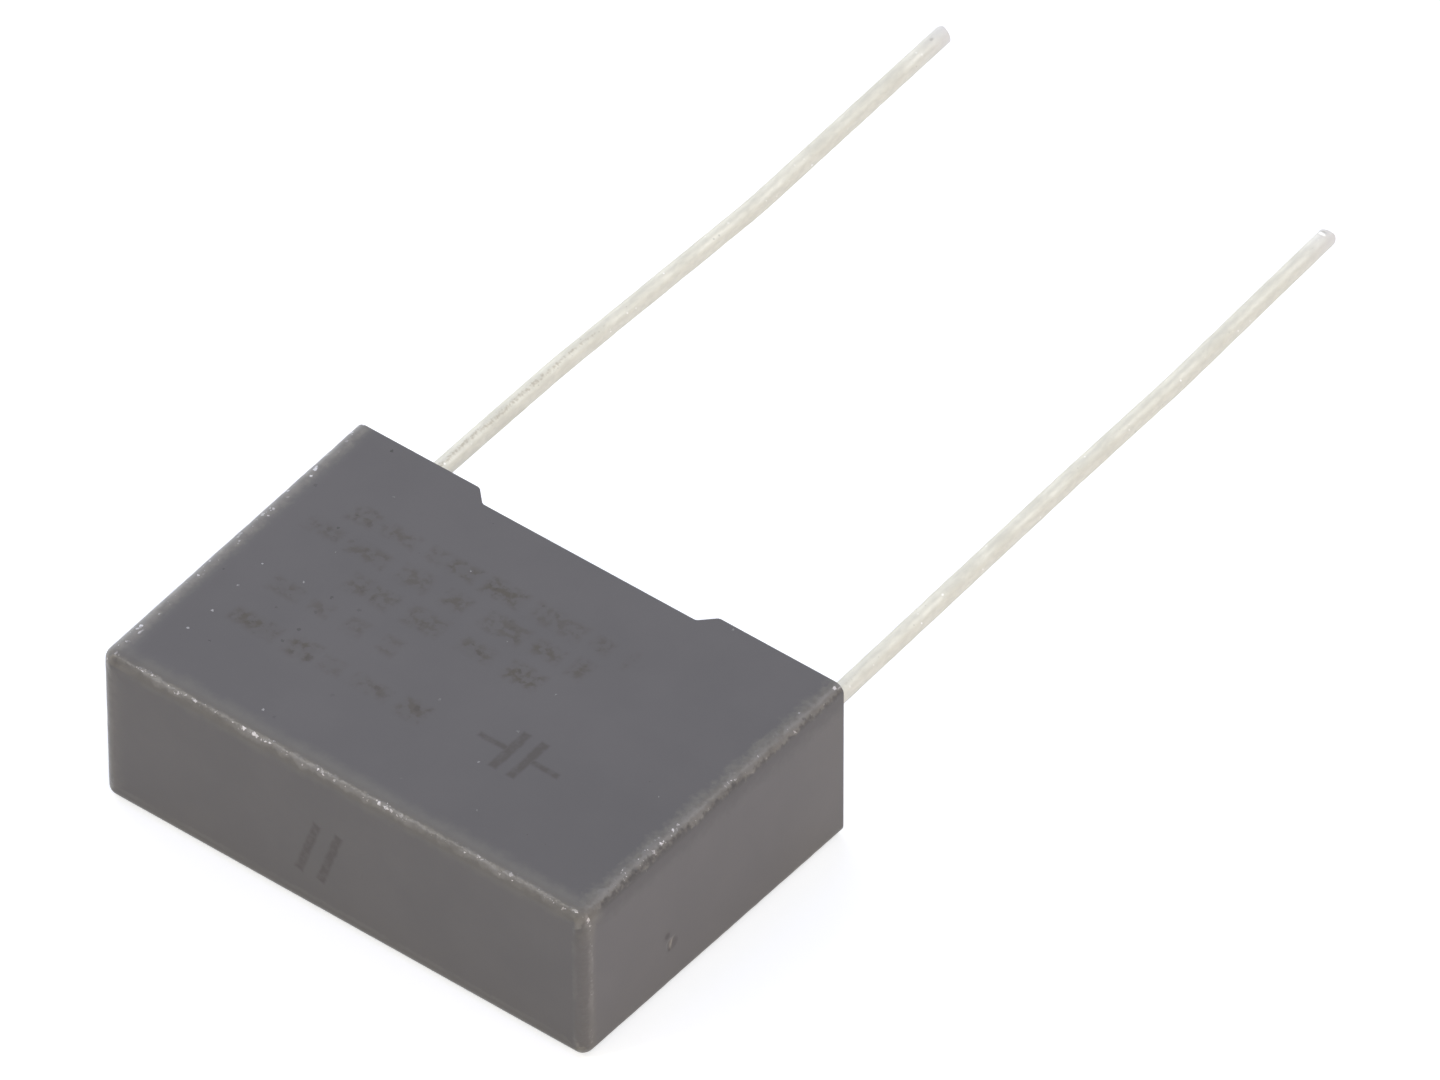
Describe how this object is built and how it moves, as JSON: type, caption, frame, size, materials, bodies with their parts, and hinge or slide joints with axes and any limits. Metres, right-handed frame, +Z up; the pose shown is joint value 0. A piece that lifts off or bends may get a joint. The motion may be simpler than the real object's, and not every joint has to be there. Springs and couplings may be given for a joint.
{
  "type": "film capacitor",
  "caption": "Flat box film capacitor with a moulded grey case, rounded edges, relieved rim feet and long round tinned radial leads, lying on its large side.",
  "frame": {"origin": "middle of the large side face that the part lies on, half-way along the height of the case", "axes": "+X along the lead pitch, +Y the way the leads point, +Z up, across the thickness of the case"},
  "size_m": [0.018, 0.038, 0.006],
  "materials": {
    "case_plastic": "fine matte moulded texture, edges rubbed shiny",
    "resin": "cast resin, slightly dished",
    "film": "wound metallised film",
    "sprayed_metal": "rough sprayed zinc",
    "tinned_wire": "satin tin plating"
  },
  "bodies": {
    "root": {"case": "case_plastic", "potting_resin": "resin", "film_winding": "film", "left_end_spray": "sprayed_metal", "right_end_spray": "sprayed_metal", "left_lead": "tinned_wire", "right_lead": "tinned_wire"}
  },
  "joints": []
}
